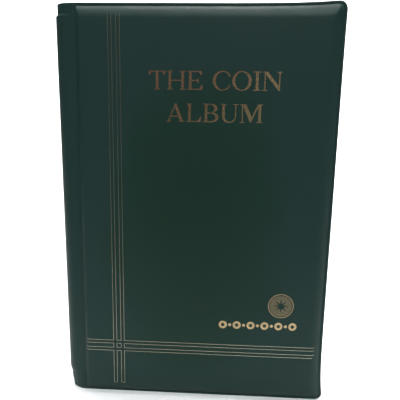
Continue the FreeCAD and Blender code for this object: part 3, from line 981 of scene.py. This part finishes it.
class Nodes:
    """A material's node tree, with short ways to add what the materials here share."""

    def __init__(self, name):
        self.material = bpy.data.materials.new(name)
        self.material.use_nodes = True
        self.tree = self.material.node_tree
        self.surface = next(n for n in self.tree.nodes if n.type == "BSDF_PRINCIPLED")
        self.place = self.tree.nodes.new("ShaderNodeTexCoord").outputs["Object"]

    def add(self, kind, inputs=None, **settings):
        """A node of a kind, with values or links for its inputs and settings of its own."""
        node = self.tree.nodes.new(kind)
        for key, value in settings.items():
            setattr(node, key, value)
        for key, value in (inputs or {}).items():
            if isinstance(value, bpy.types.NodeSocket):
                self.tree.links.new(value, node.inputs[key])
            else:
                node.inputs[key].default_value = value
        return node

    def set(self, **values):
        """Values or links for the surface's sockets, named with underscores for spaces."""
        for key, value in values.items():
            socket = self.surface.inputs[key.replace("_", " ")]
            if isinstance(value, bpy.types.NodeSocket):
                self.tree.links.new(value, socket)
            else:
                socket.default_value = value

    def noise(self, scale, detail=2.0, roughness=0.5):
        """Cloudy unevenness from 0 to 1."""
        inputs = {"Vector": self.place, "Scale": scale, "Detail": detail, "Roughness": roughness}
        return self.add("ShaderNodeTexNoise", inputs).outputs["Fac"]

    def ramp(self, value, *stops):
        """A colour ramp whose stops are (position, colour)."""
        node = self.add("ShaderNodeValToRGB", {"Fac": value})
        elements = node.color_ramp.elements
        while len(elements) < len(stops):
            elements.new(0.5)
        for element, (position, colour) in zip(elements, stops):
            element.position = position
            element.color = (*colour, 1)
        return node.outputs["Color"]

    def span(self, value, low, high, to_low, to_high):
        """Value mapped from one range to another."""
        inputs = {
            "Value": value, "From Min": low, "From Max": high, "To Min": to_low, "To Max": to_high
        }
        return self.add("ShaderNodeMapRange", inputs).outputs["Result"]

    def sum(self, a, b, weight):
        """a + weight * b"""
        node = self.add("ShaderNodeMath", {0: b, 1: weight, 2: a}, operation="MULTIPLY_ADD")
        return node.outputs[0]

    def axis(self, name):
        """The place along one axis, in metres."""
        return self.add("ShaderNodeSeparateXYZ", {0: self.place}).outputs[name]

    def bump(self, height, depth_mm, strength=1.0):
        """Relief on the surface."""
        node = self.add(
            "ShaderNodeBump", {"Height": height, "Distance": depth_mm * MM, "Strength": strength}
        )
        self.set(Normal=node.outputs["Normal"])


GRAIN_MM = 0.55
LINING_GRAIN_MM = 0.9
GRAIN_WARP = 0.0005


def leather_grain(nodes, cell_mm):
    """Height of a pressed leather grain: rounded cells of uneven size, with fine pores."""
    warp = nodes.add(
        "ShaderNodeTexNoise", {"Vector": nodes.place, "Scale": 350.0, "Detail": 2.0}
    ).outputs["Color"]
    bent = nodes.add(
        "ShaderNodeVectorMath", {0: warp, 1: (GRAIN_WARP, GRAIN_WARP, GRAIN_WARP), 2: nodes.place},
        operation="MULTIPLY_ADD",
    ).outputs["Vector"]
    cells = nodes.add(
        "ShaderNodeTexVoronoi", {"Vector": bent, "Scale": 1 / (cell_mm * MM)},
        feature="DISTANCE_TO_EDGE",
    ).outputs["Distance"]
    rounded = nodes.span(cells, 0.0, 0.28, 0.0, 1.0)
    pores = nodes.noise(5200.0, 3.0)
    return nodes.sum(rounded, pores, 0.35)


# Painted light: the cover's colour grows lighter and bluer outwards from this height at the frame's
# middle, in metres, by so much for each metre across and up, as a painted glow along its edges.
PAINTED_EDGE_LIGHT_MIDDLE = 0.09
PAINTED_EDGE_LIGHT_ACROSS = 16.0
PAINTED_EDGE_LIGHT_UP = 9.0


def cover_vinyl():
    """Dark green vinyl with a fine pressed grain and a satin sheen, and painted light: lighter and bluer at its
    edges.
    """
    nodes = Nodes("cover_vinyl")
    centred = nodes.add(
        "ShaderNodeVectorMath",
        {0: nodes.place, 1: (PAINTED_EDGE_LIGHT_ACROSS, 0.0, PAINTED_EDGE_LIGHT_UP), 2: (0.0, 0.0, -PAINTED_EDGE_LIGHT_UP * PAINTED_EDGE_LIGHT_MIDDLE)},
        operation="MULTIPLY_ADD",
    ).outputs["Vector"]
    outwards = nodes.add("ShaderNodeVectorMath", {0: centred}, operation="LENGTH").outputs["Value"]
    tone_and_painted_light = nodes.sum(outwards, nodes.noise(28.0, 4.0, 0.6), 0.5)
    # Painted light: from the middle out to the edges the stops grow lighter and bluer; the noise adds a random
    # cloud of tone.
    colour = nodes.ramp(
        tone_and_painted_light,
        (0.50, (0.0076, 0.0250, 0.0168)),
        (0.85, (0.0096, 0.0280, 0.0210)),
        (1.05, (0.0118, 0.0308, 0.0266)),
    )
    rough = nodes.span(nodes.noise(90.0, 3.0), 0.3, 0.7, 0.40, 0.50)
    nodes.set(Base_Color=colour, Roughness=rough, Specular_IOR_Level=0.11)
    nodes.bump(leather_grain(nodes, GRAIN_MM), 0.035, 0.55)
    return nodes.material


def lining_vinyl():
    """The same green in a smoother, duller film."""
    nodes = Nodes("lining_vinyl")
    cloud = nodes.noise(35.0, 4.0, 0.6)
    colour = nodes.ramp(cloud, (0.30, (0.0080, 0.0240, 0.0200)), (0.70, (0.0105, 0.0290, 0.0245)))
    rough = nodes.span(nodes.noise(120.0, 3.0), 0.3, 0.7, 0.46, 0.58)
    nodes.set(Base_Color=colour, Roughness=rough, Specular_IOR_Level=0.16)
    nodes.bump(leather_grain(nodes, LINING_GRAIN_MM), 0.02, 0.4)
    return nodes.material


def foam():
    """Pale foam with fine open cells."""
    nodes = Nodes("foam")
    cells = nodes.add(
        "ShaderNodeTexVoronoi", {"Vector": nodes.place, "Scale": 1800.0}
    ).outputs["Distance"]
    colour = nodes.ramp(cells, (0.1, (0.62, 0.58, 0.48)), (0.8, (0.74, 0.71, 0.62)))
    nodes.set(Base_Color=colour, Roughness=0.95)
    nodes.bump(cells, 0.1)
    return nodes.material


def pressed_board(name, dark, light):
    """Grey board or card: flecks and fibres."""
    nodes = Nodes(name)
    flecks = nodes.noise(900.0, 6.0, 0.7)
    colour = nodes.ramp(flecks, (0.35, dark), (0.62, light))
    nodes.set(Base_Color=colour, Roughness=0.92)
    nodes.bump(flecks, 0.03)
    return nodes.material


def guard_vinyl():
    """The strips between the margins: plain vinyl in the cover's green."""
    nodes = Nodes("guard_vinyl")
    cloud = nodes.noise(60.0, 3.0)
    colour = nodes.ramp(cloud, (0.3, (0.0085, 0.0250, 0.0210)), (0.7, (0.0115, 0.0310, 0.0260)))
    nodes.set(Base_Color=colour, Roughness=0.5)
    nodes.bump(nodes.noise(2600.0, 2.0), 0.015)
    return nodes.material


def page_film():
    """Soft film, a cloudy pale grey, with the sheen of a plasticised sheet."""
    nodes = Nodes("page_film")
    cloud = nodes.noise(45.0, 5.0, 0.6)
    colour = nodes.ramp(cloud, (0.3, (0.42, 0.45, 0.45)), (0.7, (0.49, 0.52, 0.52)))
    nodes.set(Base_Color=colour, Roughness=0.32, Subsurface_Weight=0.05)
    nodes.bump(nodes.noise(220.0, 3.0), 0.03)
    return nodes.material


def pocket_film():
    """Clear glossy film that shows its slack as soft wrinkles."""
    nodes = Nodes("pocket_film")
    cloud = nodes.noise(60.0, 3.0)
    colour = nodes.ramp(cloud, (0.3, (0.50, 0.56, 0.56)), (0.7, (0.60, 0.66, 0.66)))
    nodes.set(Base_Color=colour, Roughness=0.09, Alpha=0.30, Specular_IOR_Level=0.7)
    nodes.bump(nodes.noise(170.0, 2.0), 0.06)
    return nodes.material


def rivet_metal():
    """Brass, a little uneven."""
    nodes = Nodes("rivet_metal")
    cloud = nodes.noise(1500.0, 4.0)
    colour = nodes.ramp(cloud, (0.3, (0.60, 0.45, 0.20)), (0.7, (0.74, 0.58, 0.30)))
    rough = nodes.span(cloud, 0.3, 0.7, 0.22, 0.38)
    nodes.set(Base_Color=colour, Metallic=1.0, Roughness=rough)
    nodes.bump(cloud, 0.01)
    return nodes.material


def stamped_foil(name, *stops):
    """Hot-stamped foil, a little worn, with a painted reflection: it takes the stops' colours on its way down and
    right.
    """
    nodes = Nodes(name)
    # Painted reflection: towards the foot and the right the foil takes brighter, paler stops, as foil that mirrors
    # a lit floor below and a dim room above.
    across = nodes.span(nodes.axis("X"), -0.04, 0.06, 0.0, 0.45)
    down = nodes.span(nodes.axis("Z"), HEIGHT * MM, 0.03, 0.0, 0.55)
    place = nodes.sum(across, down, 1.0)
    tone_and_painted_light = nodes.sum(place, nodes.noise(40.0, 3.0), 0.15)
    worn = nodes.noise(2600.0, 4.0, 0.65)
    rough = nodes.span(worn, 0.35, 0.65, 0.18, 0.30)
    nodes.set(Base_Color=nodes.ramp(tone_and_painted_light, *stops), Metallic=0.85, Roughness=rough)
    nodes.bump(leather_grain(nodes, GRAIN_MM), 0.02, 0.4)
    return nodes.material


def foil():
    """The title and the mark: a painted reflection, dark copper at the upper left to bright gold at the lower
    right.
    """
    return stamped_foil(
        "foil",
        (0.25, (0.205, 0.112, 0.066)),
        (0.42, (0.250, 0.158, 0.090)),
        (0.55, (0.340, 0.245, 0.130)),
        (1.00, (0.385, 0.290, 0.160)),
    )


def rule_foil():
    """The rules: greyer than the title and the mark, with the same painted reflection, darker to paler."""
    return stamped_foil(
        # Painted reflection: these stops run from darker at the upper left to paler at the lower right.
        "rule_foil",
        (0.1, (0.14, 0.130, 0.092)),
        (0.5, (0.19, 0.17, 0.12)),
        (1.0, (0.28, 0.27, 0.195)),
    )


MAKERS = {
    "cover_vinyl": cover_vinyl,
    "lining_vinyl": lining_vinyl,
    "foam": foam,
    "grey_board": lambda: pressed_board("grey_board", (0.16, 0.15, 0.13), (0.34, 0.32, 0.28)),
    "spine_card": lambda: pressed_board("spine_card", (0.20, 0.18, 0.15), (0.38, 0.35, 0.30)),
    "guard_vinyl": guard_vinyl,
    "page_film": page_film,
    "pocket_film": pocket_film,
    "rivet_metal": rivet_metal,
    "foil": foil,
    "rule_foil": rule_foil,
}
materials = {}


def put_material(thing, name):
    """Gives a thing one material, which is made when it is first needed."""
    if name not in materials:
        materials[name] = MAKERS[name]()
    thing.data.materials.clear()
    thing.data.materials.append(materials[name])


def finish_piece(thing, body, material, *nodes):
    """Gives a piece its material and body, and hides the CAD nodes it stands for."""
    put_material(thing, material)
    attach(thing, body)
    if nodes:
        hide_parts(*nodes)


def paint_frame_nodes():
    """Every CAD node takes the material of its own slot in the record."""
    for row in frame["record"]["subparts"]:
        node = frame["nodes"][row["node"]]
        put_material(node, row["material_slot"])


# ---------------------------------------------------------------- stage, light and camera


def make_stage():
    """A pale floor that curves up into a backdrop."""
    front, back, width = -6.0, 1.6, 5.0
    radius, top = 0.6, 2.4
    turns = np.linspace(0, math.pi / 2, 17)
    profile = [(front, 0.0)]
    profile += [(back - radius + radius * math.sin(t), radius - radius * math.cos(t)) for t in turns]
    profile.append((back, top))
    verts = [(x, y, z) for x in (-width, width) for y, z in profile]
    count = len(profile)
    faces = [(k, k + 1, count + k + 1, count + k) for k in range(count - 1)]
    mesh = bpy.data.meshes.new("sweep")
    mesh.from_pydata(verts, [], faces)
    mesh.polygons.foreach_set("use_smooth", [True] * len(mesh.polygons))
    sweep = bpy.data.objects.new("sweep", mesh)
    bpy.context.scene.collection.objects.link(sweep)
    nodes = Nodes("pale_floor")
    colour = nodes.ramp(nodes.noise(3.0), (0.3, (0.88, 0.88, 0.88)), (0.7, (0.91, 0.91, 0.91)))
    nodes.set(Base_Color=colour, Roughness=0.8)
    mesh.materials.append(nodes.material)


def area_light(name, place, target, width, height, watts, colour=(1, 1, 1)):
    """A rectangular light that faces a target."""
    light = bpy.data.lights.new(name, "AREA")
    light.shape = "RECTANGLE"
    light.size = width
    light.size_y = height
    light.energy = watts
    light.color = colour
    thing = bpy.data.objects.new(name, light)
    thing.location = place
    thing.rotation_euler = (Vector(target) - Vector(place)).to_track_quat("-Z", "Y").to_euler()
    bpy.context.scene.collection.objects.link(thing)
    return thing


def make_lights():
    """A ceiling light, a key light on the front, a lit backdrop, a pale wall and a dim room."""
    below = (0.10, 0.07, 0)
    ceiling = area_light("ceiling_light", (0.10, 0.05, 0.95), below, 1.1, 0.2, 1.6)
    ceiling.data.spread = math.radians(42)
    backdrop = area_light("backdrop_light", (0, 0.55, 1.9), (0, 1.45, 0.4), 2.4, 0.8, 54)
    backdrop.data.spread = math.radians(104)
    key = area_light("key_light", (0.2, -0.8, 1.1), (0.02, 0, 0.20), 1.0, 0.4, 1.3, (0.94, 0.98, 1))
    key.data.spread = math.radians(34)
    area_light("wall_light", (0, -2.2, 0.75), (0, 0, 0.15), 2.4, 0.5, 1.6, (0.84, 0.93, 1.0))
    world = bpy.data.worlds.new("room")
    world.use_nodes = True
    world.node_tree.nodes["Background"].inputs["Color"].default_value = (0.93, 0.97, 1.0, 1)
    world.node_tree.nodes["Background"].inputs["Strength"].default_value = 0.19
    bpy.context.scene.world = world


CAMERA_LENS = 36.40
CAMERA_PLACE = (0.0118, -0.2053, 0.1398)
CAMERA_YAW = 2.66
CAMERA_DOWN = 10.15
CAMERA_ROLL = 0.985


def make_camera():
    """The camera, turned a little to the left and tilted down."""
    camera = bpy.data.cameras.new("camera")
    camera.lens = CAMERA_LENS
    camera.sensor_width = 36.0
    camera.clip_start = 0.01
    thing = bpy.data.objects.new("camera", camera)
    turn = Matrix.Rotation(math.radians(CAMERA_YAW), 4, "Z")
    tilt = Matrix.Rotation(math.radians(90 - CAMERA_DOWN), 4, "X")
    roll = Matrix.Rotation(math.radians(CAMERA_ROLL), 4, "Z")
    thing.matrix_world = Matrix.Translation(CAMERA_PLACE) @ turn @ tilt @ roll
    bpy.context.scene.collection.objects.link(thing)
    bpy.context.scene.camera = thing


# ---------------------------------------------------------------- the album

paint_frame_nodes()
make_cover("front", -1)
make_cover("back", 1)
make_hinge("front", -1)
make_hinge("back", 1)
make_spine()
make_rules()
make_title()
make_emblem()
for page_number in range(1, PAGES + 1):
    make_pockets(page_number)
make_rivets()
make_stage()
make_lights()
make_camera()
bpy.context.scene.view_settings.view_transform = "Standard"
